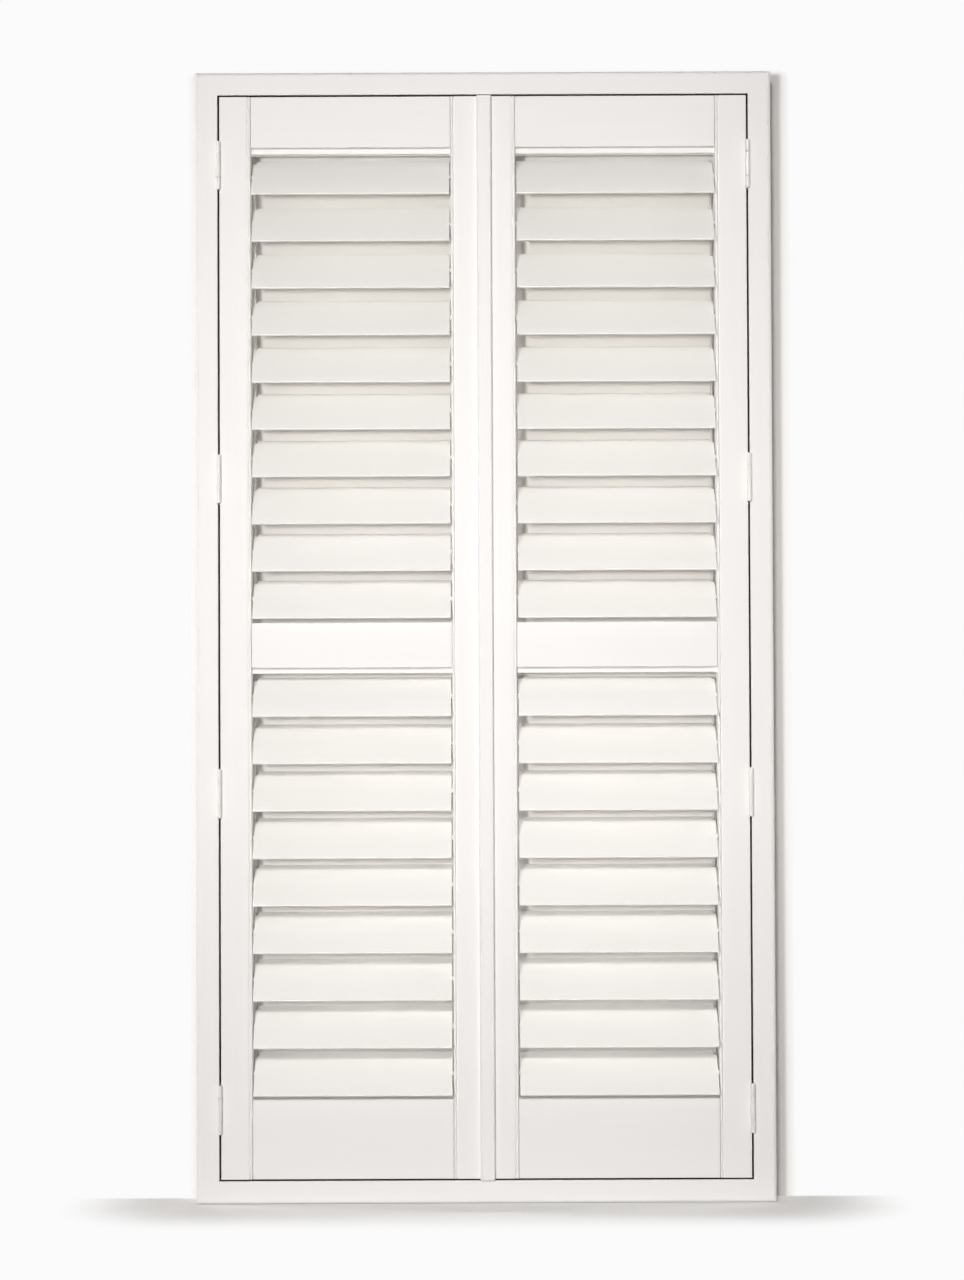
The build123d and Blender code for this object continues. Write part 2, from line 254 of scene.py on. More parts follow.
@dataclass(frozen=True)
class SatinPaint:
    """Sprayed satin lacquer on hardwood.

    It gives the eye a soft warm white with faint long marks of the grain under the film and a
    fine orange peel. Grain and peel are drawn coarser than life, because the real ones are
    finer than a pixel.
    """

    name: str
    colour: str
    shade: str
    run: GrainRun
    roughness: float = 0.45
    roughness_spread: float = 0.06
    grain_width_mm: float = 5.0
    grain_length_mm: float = 260.0
    grain_height_mm: float = 0.05
    peel_mm: float = 3.0
    peel_height_mm: float = 0.012
    cloud_mm: float = 380.0
    grain_tone: float = 0.35
    grain_contrast: tuple[float, float] = (0.35, 0.75)
    cloud_contrast: tuple[float, float] = (0.3, 0.7)
    ior: float = 1.48
    specular: float = 0.3

    def material(self) -> bpy.types.Material:
        """Build the paint's material.

        Returns:
            The material.
        """
        material = blank_material(self.name)
        tree = material.node_tree
        place = add_node(tree, "ShaderNodeTexCoord").outputs["Object"]
        along = add_node(
            tree, "ShaderNodeMapping",
            values={"Scale": self.run.stretch(self.grain_width_mm, self.grain_length_mm)},
            links={"Vector": place},
        ).outputs["Vector"]
        grain = add_node(
            tree, "ShaderNodeTexNoise",
            values={"Scale": 1.0, "Detail": 3.0, "Roughness": 0.55}, links={"Vector": along},
        ).outputs[0]
        clouds = add_node(
            tree, "ShaderNodeTexNoise",
            values={"Scale": 1.0 / mm(self.cloud_mm), "Detail": 2.0}, links={"Vector": place},
        ).outputs[0]
        peel = add_node(
            tree, "ShaderNodeTexNoise",
            values={"Scale": 1.0 / mm(self.peel_mm), "Detail": 1.0}, links={"Vector": place},
        ).outputs[0]
        marks = add_node(
            tree, "ShaderNodeMapRange",
            values={
                "From Min": self.grain_contrast[0],
                "From Max": self.grain_contrast[1],
                "To Max": self.grain_tone,
            },
            links={"Value": grain},
        ).outputs[0]
        drift = add_node(
            tree, "ShaderNodeMapRange",
            values={
                "From Min": self.cloud_contrast[0],
                "From Max": self.cloud_contrast[1],
                "To Max": 1.0 - self.grain_tone,
            },
            links={"Value": clouds},
        ).outputs[0]
        tone = add_node(
            tree, "ShaderNodeMath", {"operation": "ADD", "use_clamp": True}, links={0: marks, 1: drift},
        )
        colour = add_node(
            tree, "ShaderNodeMix", {"data_type": "RGBA"},
            {6: linear(self.colour), 7: linear(self.shade)}, {0: tone.outputs[0]},
        ).outputs[2]
        gloss = add_node(
            tree, "ShaderNodeMapRange",
            values={
                "To Min": self.roughness - self.roughness_spread,
                "To Max": self.roughness + self.roughness_spread,
            },
            links={"Value": peel},
        ).outputs[0]
        raised = add_node(
            tree, "ShaderNodeBump", values={"Distance": mm(self.grain_height_mm)}, links={"Height": grain},
        ).outputs[0]
        pebbled = add_node(
            tree, "ShaderNodeBump", values={"Distance": mm(self.peel_height_mm)},
            links={"Height": peel, "Normal": raised},
        ).outputs[0]
        shader = add_node(
            tree, "ShaderNodeBsdfPrincipled", values={"IOR": self.ior, "Specular IOR Level": self.specular},
            links={"Base Color": colour, "Roughness": gloss, "Normal": pebbled},
        ).outputs[0]
        add_node(tree, "ShaderNodeOutputMaterial", links={"Surface": shader})
        return material


@dataclass(frozen=True)
class FineFinish:
    """A finish with a fine pattern: enamel, plated steel, brushed metal, moulded plastic or pile.

    The pattern is stretched along Z for a brushed finish and even for the others, and it moves
    the colour, the gloss and the surface a little.
    """

    name: str
    colour: str
    shade: str
    metallic: float
    roughness: float
    ior: float = 1.5
    coat: float = 0.0
    pattern_width_mm: float = 2.0
    pattern_length_mm: float = 2.0
    pattern_height_mm: float = 0.01
    pattern_contrast: tuple[float, float] = (0.3, 0.7)
    roughness_spread: float = 0.06

    def material(self) -> bpy.types.Material:
        """Build the finish's material.

        Returns:
            The material.
        """
        material = blank_material(self.name)
        tree = material.node_tree
        place = add_node(tree, "ShaderNodeTexCoord").outputs["Object"]
        stretch = GrainRun.UPRIGHT.stretch(self.pattern_width_mm, self.pattern_length_mm)
        along = add_node(
            tree, "ShaderNodeMapping", values={"Scale": stretch}, links={"Vector": place},
        ).outputs[0]
        pattern = add_node(
            tree, "ShaderNodeTexNoise", values={"Scale": 1.0, "Detail": 2.0}, links={"Vector": along},
        ).outputs[0]
        tone = add_node(
            tree, "ShaderNodeMapRange",
            values={"From Min": self.pattern_contrast[0], "From Max": self.pattern_contrast[1]},
            links={"Value": pattern},
        ).outputs[0]
        colour = add_node(
            tree, "ShaderNodeMix", {"data_type": "RGBA"},
            {6: linear(self.colour), 7: linear(self.shade)}, {0: tone},
        ).outputs[2]
        gloss = add_node(
            tree, "ShaderNodeMapRange",
            values={
                "To Min": self.roughness - self.roughness_spread,
                "To Max": self.roughness + self.roughness_spread,
            },
            links={"Value": pattern},
        ).outputs[0]
        raised = add_node(
            tree, "ShaderNodeBump",
            values={"Distance": mm(self.pattern_height_mm)}, links={"Height": pattern},
        ).outputs[0]
        shader = add_node(
            tree, "ShaderNodeBsdfPrincipled",
            values={"Metallic": self.metallic, "IOR": self.ior, "Coat Weight": self.coat},
            links={"Base Color": colour, "Roughness": gloss, "Normal": raised},
        ).outputs[0]
        add_node(tree, "ShaderNodeOutputMaterial", links={"Surface": shader})
        return material


@dataclass(frozen=True)
class PalePaper:
    """Seamless pale studio paper, seen only from its front.

    Close to the shutters it is lit by the lamps, so that it keeps their shadow, and further away
    its brightness is its own, so that it stays even. What the shutters cover is painted warmer and
    brighter than the paper: painted light that stands in for the warm light bounced around the
    cavity behind the louvres. The near part throws a share of its light back on the shutters.
    Lamps shine through it, so that no side of the shutters is dark.
    """

    name: str
    colour: str
    near_colour: str
    near_light: float
    covered_bounce_colour: str
    covered_light: float
    own_light: float
    fade_mm: tuple[float, float]
    bounce: float
    bounce_reach_mm: float
    covered_edge_mm: float = 3.0

    def material(self, box: tuple[Vector, Vector], shadow: Vector) -> bpy.types.Material:
        """Build the paper's material.

        Args:
            box: lowest and highest corner of the shutters.
            shadow: how far their shadow reaches past the highest corner.

        Returns:
            The material.
        """
        material = blank_material(self.name)
        tree = material.node_tree
        away = distance_outside(tree, box[0], box[1])
        far = add_node(
            tree, "ShaderNodeMapRange", {"interpolation_type": "SMOOTHSTEP"},
            {"From Min": mm(self.fade_mm[0]), "From Max": mm(self.fade_mm[1])},
            {"Value": distance_outside(tree, box[0], box[1] + shadow)},
        )
        back = add_node(tree, "ShaderNodeNewGeometry").outputs["Backfacing"]
        thrown_share = add_node(
            tree, "ShaderNodeMapRange",
            values={"From Max": mm(self.bounce_reach_mm), "To Min": self.bounce, "To Max": 0.0},
            links={"Value": away},
        )
        uncovered = add_node(
            tree, "ShaderNodeMapRange", values={"From Max": mm(self.covered_edge_mm)}, links={"Value": away},
        )
        thrown = add_node(
            tree, "ShaderNodeMath", {"operation": "MULTIPLY_ADD"}, links={
                0: add_node(tree, "ShaderNodeLightPath").outputs["Is Diffuse Ray"],
                1: thrown_share.outputs[0],
                2: seen_by_eye(tree),
            },
        )
        front = add_node(
            tree, "ShaderNodeMath", {"operation": "SUBTRACT", "use_clamp": True},
            links={0: thrown.outputs[0], 1: back},
        )
        # Painted light: where the shutters cover the paper, it takes the covered colour at the covered light.
        # That is warmer and brighter than white paper, and stands in for light bounced behind the louvres.
        tint = add_node(
            tree, "ShaderNodeMix", {"data_type": "RGBA"}, {
                6: dimmed(self.covered_bounce_colour, self.covered_light),
                7: dimmed(self.near_colour, self.near_light),
            }, {0: uncovered.outputs[0]},
        )
        glow = add_node(
            tree, "ShaderNodeEmission", values={"Strength": self.own_light}, links={"Color": tint.outputs[2]},
        )
        lit = add_node(tree, "ShaderNodeBsdfDiffuse", links={"Color": tint.outputs[2]})
        near = add_node(tree, "ShaderNodeAddShader", links={0: glow.outputs[0], 1: lit.outputs[0]})
        even = add_node(tree, "ShaderNodeEmission", values={"Color": linear(self.colour)})
        paper = add_node(
            tree, "ShaderNodeMixShader", links={0: far.outputs[0], 1: near.outputs[0], 2: even.outputs[0]},
        )
        clear = add_node(tree, "ShaderNodeBsdfTransparent")
        mixed = add_node(
            tree, "ShaderNodeMixShader",
            links={0: front.outputs[0], 1: clear.outputs[0], 2: paper.outputs[0]},
        )
        add_node(tree, "ShaderNodeOutputMaterial", links={"Surface": mixed.outputs[0]})
        return material


def distance_outside(tree: bpy.types.NodeTree, low: Vector, high: Vector) -> bpy.types.NodeSocket:
    """How far a point of the surface lies outside a box.

    Args:
        tree: the node tree of the surface's material.
        low: the box's lowest corner.
        high: the box's highest corner.

    Returns:
        The socket with the distance.
    """
    away = add_node(tree, "ShaderNodeTexCoord").outputs["Object"]
    steps = (("SUBTRACT", (low + high) / 2), ("ABSOLUTE", None), ("SUBTRACT", (high - low) / 2),
             ("MAXIMUM", Vector()), ("LENGTH", None))
    for operation, amount in steps:
        step = add_node(
            tree, "ShaderNodeVectorMath", {"operation": operation},
            {} if amount is None else {1: amount}, {0: away},
        )
        away = step.outputs["Value" if operation == "LENGTH" else "Vector"]
    return away


def seen_by_eye(tree: bpy.types.NodeTree) -> bpy.types.NodeSocket:
    """Tell rays that show the studio itself, directly, mirrored or through glass.

    Args:
        tree: the node tree that asks.

    Returns:
        The socket with one for such rays, and else zero.
    """
    path = add_node(tree, "ShaderNodeLightPath").outputs
    direct = add_node(
        tree, "ShaderNodeMath", {"operation": "MAXIMUM"},
        links={0: path["Is Camera Ray"], 1: path["Is Glossy Ray"]},
    ).outputs[0]
    return add_node(
        tree, "ShaderNodeMath", {"operation": "MAXIMUM"}, links={0: direct, 1: path["Is Transmission Ray"]},
    ).outputs[0]


@dataclass(frozen=True)
class SoftLamp:
    """A large soft lamp.

    Its level is the brightness that it gives a white card that faces it at the aim point. A lamp
    with a grid spreads its light over a narrower angle, so that it falls off around the aim point.
    The light of a fill lamp isn't thrown on by what it meets, so that it shows its own side alone
    and doesn't brighten the shade behind the louvres.
    """

    name: str
    place_mm: tuple[float, float, float]
    aim_mm: tuple[float, float, float]
    size_mm: tuple[float, float]
    level: float
    colour: str
    spread_deg: float = FULL_SPREAD_DEG
    is_fill: bool = False

    def build(self) -> bpy.types.Object:
        """Make the lamp and turn it to its aim point.

        Returns:
            The lamp's object.
        """
        lamp = bpy.data.lights.new(self.name, "AREA")
        lamp.shape = "RECTANGLE"
        lamp.size, lamp.size_y = (mm(v) for v in self.size_mm)
        place, aim = Vector(map(mm, self.place_mm)), Vector(map(mm, self.aim_mm))
        lamp.energy = self.level * math.pi ** 2 * (aim - place).length_squared
        half_spread = math.radians(self.spread_deg) / 2
        if self.spread_deg < FULL_SPREAD_DEG:
            lamp.spread = 2 * half_spread
            lamp.energy *= 1.0 - half_spread / math.tan(half_spread)
        if self.is_fill:
            lamp.cycles.max_bounces = 0
        lamp.color = linear(self.colour)[:3]
        holder = bpy.data.objects.new(self.name, lamp)
        holder.location = place
        holder.rotation_euler = (aim - place).to_track_quat("-Z", "Y").to_euler()
        holder.visible_camera = False
        bpy.context.scene.collection.objects.link(holder)
        return holder


@dataclass
class Studio:
    """Pale floor and wall, soft lamps and an even pale surround."""

    floor_reach_mm: float = 40000.0
    wall_reach_mm: float = 16000.0
    wall_gap_mm: float = 1.5
    floor_gap_mm: float = 0.3
    shadow_reach_mm: float = 21.0
    floor_paper: PalePaper = PalePaper(
        "floor_paper",
        colour="#FBFBFB",
        near_colour="#FBFBFB",
        near_light=0.90,
        covered_bounce_colour="#FBFBFB",
        covered_light=0.90,
        own_light=0.07,
        fade_mm=(40.0, 230.0),
        bounce=0.7,
        bounce_reach_mm=140.0,
    )
    # Painted light: the covered colour and a covered light above one make the paper behind the shutters
    # warmer and brighter, standing in for warm light bounced behind the louvres.
    wall_paper: PalePaper = PalePaper(
        "wall_paper",
        colour="#FBFBFB",
        near_colour="#FBFAF8",
        near_light=0.92,
        covered_bounce_colour="#FBF6EE",
        covered_light=1.19,
        own_light=0.04,
        fade_mm=(3.0, 18.0),
        bounce=0.7,
        bounce_reach_mm=60.0,
    )
    surround_colour: str = "#FFF2E6"
    surround_level: float = 0.08
    backdrop_colour: str = "#FBFBFB"
    lamps: tuple[SoftLamp, ...] = (
        SoftLamp(
            "window_lamp", (-1424.0, -5313.0, 1032.0), (80.0, 0.0, 926.0), (550.0, 600.0),
            level=0.50, colour="#FFFEFD", spread_deg=104.0,
        ),
        SoftLamp(
            "high_lamp", (-285.0, -4900.0, 2421.0), (220.0, 0.0, 730.0), (700.0, 700.0),
            level=0.605, colour="#FFFCFA", spread_deg=67.0,
        ),
        SoftLamp(
            "rear_lamp", (0.0, 3000.0, 700.0), (0.0, 0.0, 950.0), (2000.0, 1200.0),
            level=0.72, colour="#FFFCF8", is_fill=True,
        ),
        SoftLamp(
            "left_lamp", (-3500.0, 500.0, 1500.0), (0.0, 0.0, 950.0), (200.0, 2000.0),
            level=0.40, colour="#FFFCF8", is_fill=True,
        ),
        SoftLamp(
            "right_lamp", (3500.0, 500.0, 1500.0), (0.0, 0.0, 950.0), (200.0, 2000.0),
            level=0.25, colour="#FFFCF8", is_fill=True,
        ),
    )

    def sheet(self, name: str, size_mm: float, turn_deg: float, place: Vector) -> bpy.types.Object:
        """Lay or hang one square of paper.

        Args:
            name: the object's name.
            size_mm: length of a side.
            turn_deg: turn about X, from lying face up.
            place: the square's middle.

        Returns:
            The square, with its place in its mesh.
        """
        bpy.ops.object.select_all(action="DESELECT")
        turn = (math.radians(turn_deg), 0.0, 0.0)
        bpy.ops.mesh.primitive_plane_add(size=mm(size_mm), location=place, rotation=turn)
        plane = bpy.context.object
        bpy.ops.object.transform_apply()
        plane.name = name
        plane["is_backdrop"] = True
        return plane

    def build(self, box: tuple[Vector, Vector]) -> None:
        """Make the paper, the lamps and the surround.

        Args:
            box: lowest and highest corner of the shutters.
        """
        drop = mm(self.floor_gap_mm)
        floor = self.sheet("floor", self.floor_reach_mm, 0.0, Vector((0.0, 0.0, -drop)))
        rear = box[1].y + mm(self.wall_gap_mm)
        wall_middle = Vector((0.0, rear, mm(self.wall_reach_mm) / 2 - drop))
        wall = self.sheet("wall", self.wall_reach_mm, 90.0, wall_middle)
        dress(floor, self.floor_paper.material(box, Vector()))
        dress(wall, self.wall_paper.material(box, Vector((mm(self.shadow_reach_mm), 0.0, 0.0))))
        for lamp in self.lamps:
            lamp.build()
        self.build_surround()

    def build_surround(self) -> None:
        """Light the scene evenly, and show the backdrop's own colour to the eye."""
        world = bpy.data.worlds.new("surround")
        bpy.context.scene.world = world
        world.use_nodes = True
        tree = world.node_tree
        tree.nodes.clear()
        light = add_node(
            tree, "ShaderNodeBackground",
            values={"Color": linear(self.surround_colour), "Strength": self.surround_level},
        )
        backdrop = add_node(tree, "ShaderNodeBackground", values={"Color": linear(self.backdrop_colour)})
        mixed = add_node(
            tree, "ShaderNodeMixShader",
            links={0: seen_by_eye(tree), 1: light.outputs[0], 2: backdrop.outputs[0]},
        )
        add_node(tree, "ShaderNodeOutputWorld", links={"Surface": mixed.outputs[0]})


@dataclass
class PhotoCamera:
    """The camera at the photograph's place, from a fit to the shutters' edges."""

    place_mm: tuple[float, float, float] = (-4.2, -4835.5, 803.8)
    pitch_deg: float = 1.237
    roll_deg: float = -0.230
    focal_px: float = 2972.2
    sensor_mm: float = 36.0

    def build(self) -> bpy.types.Object:
        """Make the camera and use it.

        Returns:
            The camera's object.
        """
        lens = bpy.data.cameras.new("photo_camera")
        lens.sensor_fit = "AUTO"
        lens.sensor_width = self.sensor_mm
        lens.lens = self.focal_px / PHOTO_HEIGHT_PX * self.sensor_mm
        camera = bpy.data.objects.new("photo_camera", lens)
        turn = Matrix.Rotation(math.radians(90.0 + self.pitch_deg), 4, "X")
        turn = turn @ Matrix.Rotation(math.radians(self.roll_deg), 4, "Z")
        camera.matrix_world = Matrix.Translation(Vector(map(mm, self.place_mm))) @ turn
        bpy.context.scene.collection.objects.link(camera)
        bpy.context.scene.camera = camera
        return camera


@dataclass
class PaintBox:
    """The shutters' finishes."""

    # Painted woodwork: near-white with a soft sheen, its grain upright or level as the wood runs
    upright: SatinPaint = SatinPaint("satin_paint_upright", "#EEEDEC", "#EAE9E8", GrainRun.UPRIGHT)
    across: SatinPaint = SatinPaint("satin_paint_across", "#EEEDEC", "#EAE9E8", GrainRun.ACROSS)
    # Painted louvres: the same white, painted a little lighter as painted light that makes up for the light
    # the tilted blades miss, and smoother
    blade: SatinPaint = SatinPaint("satin_paint_blade_lightened", "#F5F4F2", "#F2F1EE", GrainRun.ACROSS, roughness=0.42)
    # Enamelled hinges: a slightly greyer and glossier white
    enamel: FineFinish = FineFinish("white_enamel", "#E7E6E4", "#E0DFDC", 0.0, 0.32, coat=0.1)
    # Moulded pins and clips: a warm, milky white
    nylon: FineFinish = FineFinish("moulded_nylon", "#ECEAE2", "#E4E1D8", 0.0, 0.46, ior=1.53)
    # Tilt bars: pale grey metal with fine upright brush marks
    brushed: FineFinish = FineFinish(
        "brushed_aluminium", "#C4C2BE", "#AEACA8", 1.0, 0.46, pattern_width_mm=0.6, pattern_length_mm=60.0,
    )
    # Screws, magnets and strike plates: bright cool grey metal
    plated: FineFinish = FineFinish("zinc_plate", "#C9CACB", "#B4B6B8", 1.0, 0.30, pattern_width_mm=1.5)
    # Floor of the screws' cross recess: dark metal, painted shade in the shallow recess, so that the cross
    # shows
    recess: FineFinish = FineFinish("recess_painted_shade", "#57585A", "#3E3F41", 1.0, 0.50, pattern_width_mm=0.5)
    # Pile seal: a matt, nearly black brown, painted shade that makes the gap round the panels dark
    pile: FineFinish = FineFinish(
        "pile_painted_gap_shade", "#22140A", "#150B05", 0.0, 0.86, pattern_width_mm=0.9, pattern_length_mm=2.4,
        pattern_height_mm=0.25,
    )

    def mix(self) -> dict[str, bpy.types.Material]:
        """Build each material once.

        Returns:
            The materials, by their place in this box.
        """
        return {name: getattr(self, name).material() for name in self.__dataclass_fields__}


@dataclass
class FrameAssembly:
    """The fixed frame: head, sill and jambs."""

    upright_nodes: tuple[str, ...] = ("frame_jamb_left", "frame_jamb_right")
    across_nodes: tuple[str, ...] = ("frame_head", "frame_sill")

    def dress(self, paints: dict[str, bpy.types.Material]) -> None:
        """Paint the frame pieces, each along its own grain.

        Args:
            paints: the materials, by their place in the paint box.
        """
        for node in self.upright_nodes:
            dress(frame["nodes"][node], paints["upright"])
            log.info("painted %s", node)
        for node in self.across_nodes:
            dress(frame["nodes"][node], paints["across"])
            log.info("painted %s", node)


@dataclass
class PanelAssembly:
    """One hinged panel: stiles, rails and, on the left one, the cover strip."""

    side: str
    upright_pieces: tuple[str, ...] = ("hinge_stile", "meeting_stile")
    across_pieces: tuple[str, ...] = ("top_rail", "mid_rail", "bottom_rail")

    def dress(self, paints: dict[str, bpy.types.Material]) -> None:
        """Paint the panel's woodwork, each piece along its own grain.

        Args:
            paints: the materials, by their place in the paint box.
        """
        upright = [f"{self.side}_{piece}" for piece in self.upright_pieces]
        if self.side == "left":
            upright.append("cover_strip")
        for node in upright:
            dress(frame["nodes"][node], paints["upright"])
            log.info("painted %s", node)
        for piece in self.across_pieces:
            node = f"{self.side}_{piece}"
            dress(frame["nodes"][node], paints["across"])
            log.info("painted %s", node)


@dataclass
class LouvreSet:
    """The louvres of one panel, with their moulded pins and tilt clips."""

    side: str
    count: int = 19
    blade_ends_mm: tuple[float, float] = (54.7, 374.3)
    notch_start_mm: float = 368.45
    notch_reach_mm: float = 34.55
    end_play_mm: float = 0.05
    rearward: Vector = Vector((0.0, 1.0, 1.0)).normalized()

    def is_moulded(self, middle: Vector, pivot: Vector) -> bool:
        """Whether a face belongs to a pin or a clip.

        Args:
            middle: the face's middle.
            pivot: a point on the louvre's axis.

        Returns:
            True for a face beyond the blade's ends or in the notch of its rear corner.
        """
        along = abs(middle.x)
        inner, outer = (mm(end) for end in self.blade_ends_mm)
        play = mm(self.end_play_mm)
        behind = (middle - pivot).dot(self.rearward)
        in_notch = along > mm(self.notch_start_mm) and behind > mm(self.notch_reach_mm)
        return along < inner - play or along > outer + play or in_notch

    def dress(self, paints: dict[str, bpy.types.Material]) -> None:
        """Paint the blades and leave the mouldings bare.

        Args:
            paints: the materials, by their place in the paint box.
        """
        pivots = {joint["child"]: Vector(joint["pos_m"]) for joint in frame["record"]["behaviour"]["joints"]}
        for i in range(1, self.count + 1):
            node = f"{self.side}_louvre_{i:02d}"
            louvre = frame["nodes"][node]
            # Painted light: the blades take the lighter blade paint.
            dress(louvre, paints["blade"], paints["nylon"])
            for face in louvre.data.polygons:
                face.material_index = int(self.is_moulded(face.center, pivots[node]))
            log.info("painted %s", node)


@dataclass
class Hardware:
    """Hinges and tilt bars."""

    hinge_nodes: tuple[str, ...] = ("frame_hinge_leaves", "left_hinge_leaves", "right_hinge_leaves")

    def dress(self, paints: dict[str, bpy.types.Material]) -> None:
        """Enamel the hinges and leave the tilt bars brushed.

        Args:
            paints: the materials, by their place in the paint box.
        """
        for node in self.hinge_nodes:
            dress(frame["nodes"][node], paints["enamel"])
            log.info("enamelled %s", node)
        for side in ("left", "right"):
            for part in ("upper", "lower"):
                node = f"{side}_{part}_tilt_bar"
                dress(frame["nodes"][node], paints["brushed"])
                log.info("brushed %s", node)


@dataclass
class PileSeal:
    """Woven pile on a backing, round the frame's rebate, which fills most of the gap at the panels; its
    nearly black brown is painted shade that darkens the gap.
    """

    side_x_mm: float = 430.5
    sill_z_mm: float = 37.0
    head_z_mm: float = 1793.3
    depth_mm: tuple[float, float] = (-28.5, -8.0)
    backing_mm: float = 0.5
    pile_mm: float = 1.2
    margin_mm: float = 1.5
    pile_round_mm: float = 0.4
    end_gap_mm: float = 2.2
    hinge_half_mm: float = 38.0

    def strip(self, name: str, low_mm: tuple, high_mm: tuple, facing: Vector) -> bpy.types.Object:
        """Make one straight run.

        Args:
            name: the run's name.
            low_mm: lowest corner of the backing.
            high_mm: highest corner of the backing.
            facing: the way that the pile stands.

        Returns:
            The backing with its pile.
        """
        run = add_block(name, low_mm, high_mm)
        bpy.ops.object.mode_set(mode="EDIT")
        pick_faces(run, lambda middle, normal: normal.dot(facing) > PARALLEL)
        bpy.ops.mesh.inset(thickness=mm(self.margin_mm))
        bpy.ops.mesh.extrude_region_move(TRANSFORM_OT_translate={"value": facing * mm(self.pile_mm)})
        bpy.ops.mesh.bevel(offset=mm(self.pile_round_mm), segments=2)
        bpy.ops.object.mode_set(mode="OBJECT")
        return run

    def build_side(self, sign: int) -> bpy.types.Object:
        """Make the runs of one jamb, with a space at each hinge.

        Args:
            sign: -1 for the left jamb and 1 for the right one.

        Returns:
            The runs as one piece.
        """
        rear, front = max(self.depth_mm), min(self.depth_mm)
        outer = sign * self.side_x_mm
        inner = outer - sign * self.backing_mm
        stops = [self.sill_z_mm]
        for height in HINGE_HEIGHTS_MM:
            stops += [height - self.hinge_half_mm, height + self.hinge_half_mm]
        stops.append(self.head_z_mm)
        runs = []
        for low, high in zip(stops[::2], stops[1::2]):
            runs.append(self.strip(
                "pile_run",
                (min(outer, inner), front, low + self.end_gap_mm),
                (max(outer, inner), rear, high - self.end_gap_mm),
                Vector((-sign, 0.0, 0.0)),
            ))
        return join("pile_seal_left" if sign < 0 else "pile_seal_right", runs)

    def build_level(self, name: str, z_mm: float, facing: int) -> bpy.types.Object:
        """Make the run along the head or the sill.

        Args:
            name: the run's name.
            z_mm: height of the face that it is on.
            facing: 1 where the pile stands upwards and -1 where it hangs.

        Returns:
            The run.
        """
        far = z_mm + facing * self.backing_mm
        reach = self.side_x_mm
        return self.strip(
            name,
            (-reach, min(self.depth_mm), min(z_mm, far)),
            (reach, max(self.depth_mm), max(z_mm, far)),
            Vector((0.0, 0.0, facing)),
        )

    def build(self, paints: dict[str, bpy.types.Material]) -> None:
        """Make the four seals and fix them to the frame.

        Args:
            paints: the materials, by their place in the paint box.
        """
        seals = [self.build_side(-1), self.build_side(1)]
        seals.append(self.build_level("pile_seal_head", self.head_z_mm, -1))
        seals.append(self.build_level("pile_seal_sill", self.sill_z_mm, 1))
        for seal in seals:
            # Painted shade: the seals take the nearly black pile finish, which darkens the gap round the
            # panels.
            dress(seal, paints["pile"])
            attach(seal, "frame")
            log.info("fitted %s", seal.name)


@dataclass
class MagnetCatches:
    """Flat magnets on the frame's stop, and the strike plates on the panels that meet them."""

    near_x_mm: float = 8.0
    length_mm: float = 40.0
    level_spans_mm: tuple[tuple[str, float, float], ...] = (("top", 1782.6, 1788.8), ("bottom", 41.4, 47.6))
    stop_y_mm: float = -3.0
    panel_y_mm: float = -4.0
    magnet_mm: float = 0.45
    strike_mm: float = 0.38
    corner_mm: float = 1.6
    rim_mm: float = 0.9
    recess_mm: float = 0.14

    def plate(self, name: str, low_mm: tuple, high_mm: tuple, facing: Vector) -> bpy.types.Object:
        """Make one plate with rounded corners and a sunk middle.

        Args:
            name: the plate's name.
            low_mm: its lowest corner.
            high_mm: its highest corner.
            facing: the way that its sunk face looks.

        Returns:
            The plate.
        """
        plate = add_block(name, low_mm, high_mm)
        bpy.ops.object.mode_set(mode="EDIT")
        pick_edges(plate, Vector((0.0, 1.0, 0.0)))
        bpy.ops.mesh.bevel(offset=mm(self.corner_mm), segments=4)
        pick_faces(plate, lambda middle, normal: normal.dot(facing) > PARALLEL)
        bpy.ops.mesh.inset(thickness=mm(self.rim_mm))
        bpy.ops.mesh.extrude_region_move(TRANSFORM_OT_translate={"value": -facing * mm(self.recess_mm)})
        bpy.ops.object.mode_set(mode="OBJECT")
        return plate

    def build(self, paints: dict[str, bpy.types.Material]) -> None:
        """Make a magnet and a strike plate at the top and bottom of each panel's free edge.

        Args:
            paints: the materials, by their place in the paint box.
        """
        front = Vector((0.0, -1.0, 0.0))
        for side, sign in (("left", -1), ("right", 1)):
            ends = sorted((sign * self.near_x_mm, sign * (self.near_x_mm + self.length_mm)))
            for level, low, high in self.level_spans_mm:
                magnet = self.plate(
                    f"{side}_{level}_magnet", (ends[0], self.stop_y_mm - self.magnet_mm, low),
                    (ends[1], self.stop_y_mm, high), front,
                )
                strike = self.plate(
                    f"{side}_{level}_strike", (ends[0], self.panel_y_mm, low),
                    (ends[1], self.panel_y_mm + self.strike_mm, high), -front,
                )
                for piece, body in ((magnet, "frame"), (strike, f"{side}_panel")):
                    dress(piece, paints["plated"])
                    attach(piece, body)
                    log.info("fitted %s", piece.name)


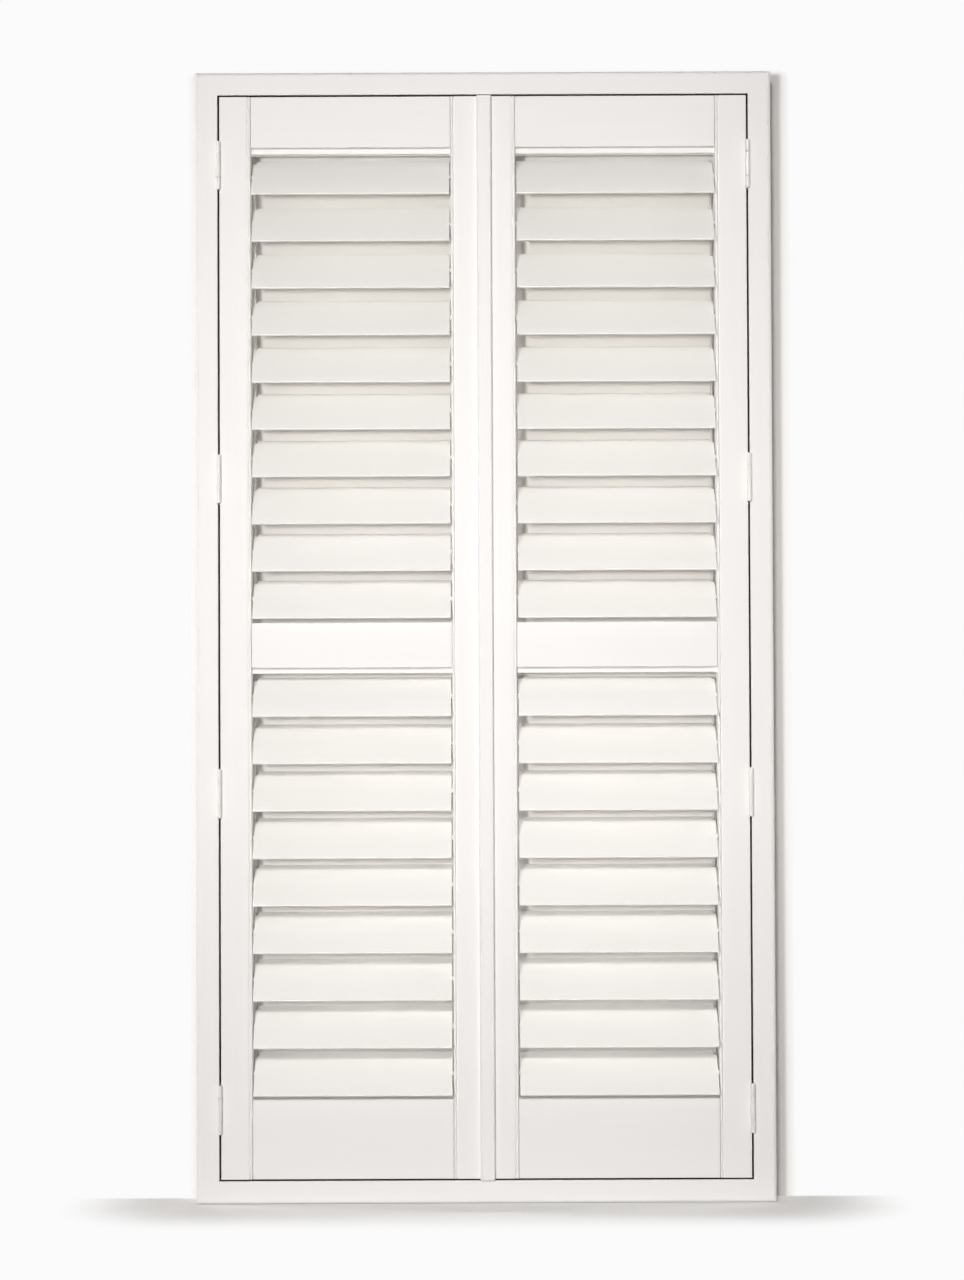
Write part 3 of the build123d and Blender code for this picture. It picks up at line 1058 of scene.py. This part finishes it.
@dataclass
class HingeScrews:
    """Cross-recessed screw heads in the hinge leaves, a little proud of them."""

    rows_mm: tuple[tuple[float, float], ...] = ((-17.49, -27.36), (-22.55, 0.0), (-17.49, 27.36))
    frame_face_mm: float = 429.3
    panel_face_mm: float = 428.7
    radius_mm: float = 2.9
    proud_mm: float = 0.20
    rim_mm: float = 0.14
    slot_width_mm: float = 0.9
    slot_arm_mm: float = 1.2
    slot_depth_mm: float = 0.15
    cut_overrun_mm: float = 1.0
    sides: int = 20

    def cross(self) -> bpy.types.Object:
        """Make the cutter for the cross recess, four arms on a small block.

        Returns:
            The cutter.
        """
        half = self.slot_width_mm / 2
        low = self.proud_mm - self.slot_depth_mm
        cutter = add_block("cross_cutter", (low, -half, -half), (low + self.cut_overrun_mm, half, half))
        bpy.ops.object.mode_set(mode="EDIT")
        for arm in (Vector((0, 1, 0)), Vector((0, -1, 0)), Vector((0, 0, 1)), Vector((0, 0, -1))):
            pick_faces(cutter, lambda middle, normal: normal.dot(arm) > PARALLEL and middle.dot(arm) > 0)
            bpy.ops.mesh.extrude_region_move(TRANSFORM_OT_translate={"value": arm * mm(self.slot_arm_mm)})
        bpy.ops.object.mode_set(mode="OBJECT")
        return cutter

    def head(self, paints: dict[str, bpy.types.Material]) -> bpy.types.Object:
        """Make one head at the origin, proud along +X.

        Args:
            paints: the materials, by their place in the paint box.

        Returns:
            The head.
        """
        cutter = self.cross()
        bpy.ops.object.select_all(action="DESELECT")
        bpy.ops.mesh.primitive_cylinder_add(
            vertices=self.sides, radius=mm(self.radius_mm), depth=mm(self.proud_mm),
            location=(mm(self.proud_mm) / 2, 0.0, 0.0), rotation=(0.0, math.radians(90.0), 0.0),
        )
        head = bpy.context.object
        bpy.ops.object.transform_apply()
        bpy.ops.object.mode_set(mode="EDIT")
        pick_faces(head, lambda middle, normal: normal.x > PARALLEL)
        bpy.ops.mesh.bevel(offset=mm(self.rim_mm), segments=2)
        bpy.ops.object.mode_set(mode="OBJECT")
        cut = head.modifiers.new("cross", "BOOLEAN")
        cut.operation = "DIFFERENCE"
        cut.object = cutter
        bpy.ops.object.modifier_apply(modifier=cut.name)
        bpy.data.objects.remove(cutter)
        dress(head, paints["plated"], paints["recess"])
        # Painted shade: the floor of the cross recess takes the dark recess finish.
        floor = mm(self.proud_mm - self.slot_depth_mm / 2)
        for face in head.data.polygons:
            face.material_index = int(0.0 < face.center.x < floor and face.normal.x > PARALLEL)
        return head

    def column(self, name: str, head: bpy.types.Object, places: list[tuple[float, int]]) -> bpy.types.Object:
        """Copy the head to every screw of some hinge leaves.

        Args:
            name: the piece's name.
            head: the head to copy.
            places: face and outward way of each leaf column, along X.

        Returns:
            All the heads as one piece.
        """
        copies = []
        for face_mm, way in places:
            turn = Matrix.Rotation(0.0 if way > 0 else math.pi, 4, "Z")
            for height in HINGE_HEIGHTS_MM:
                for y_mm, rise in self.rows_mm:
                    copy = head.copy()
                    copy.data = head.data.copy()
                    place = Vector(map(mm, (face_mm, y_mm, height + rise)))
                    copy.matrix_world = Matrix.Translation(place) @ turn
                    bpy.context.scene.collection.objects.link(copy)
                    copies.append(copy)
        whole = join(name, copies)
        bpy.ops.object.transform_apply()
        return whole

    def build(self, paints: dict[str, bpy.types.Material]) -> None:
        """Put heads in the frame's leaves and in each panel's leaves.

        Args:
            paints: the materials, by their place in the paint box.
        """
        head = self.head(paints)
        bodies = {
            "frame": [(-self.frame_face_mm, 1), (self.frame_face_mm, -1)],
            "left_panel": [(-self.panel_face_mm, -1)],
            "right_panel": [(self.panel_face_mm, 1)],
        }
        for body, places in bodies.items():
            screws = self.column(f"{body}_screw_heads", head, places)
            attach(screws, body)
            log.info("fitted %s", screws.name)
        bpy.data.objects.remove(head)


def clear_start_objects() -> None:
    """Remove the start-up objects, which aren't part of the shutters."""
    for name in START_UP_OBJECTS:
        if name in bpy.data.objects:
            bpy.data.objects.remove(bpy.data.objects[name])


def main() -> None:
    """Build the shutters' looks in order and report each piece."""
    logging.basicConfig(level=logging.INFO, format="%(name)s: %(message)s")
    clear_start_objects()
    cad_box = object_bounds()
    bpy.context.scene.view_settings.view_transform = "Standard"
    PhotoCamera().build()
    Studio().build(cad_box)
    paints = PaintBox().mix()
    FrameAssembly().dress(paints)
    for side in ("left", "right"):
        PanelAssembly(side).dress(paints)
        LouvreSet(side).dress(paints)
    Hardware().dress(paints)
    PileSeal().build(paints)
    MagnetCatches().build(paints)
    HingeScrews().build(paints)


if __name__ == "__main__":
    main()
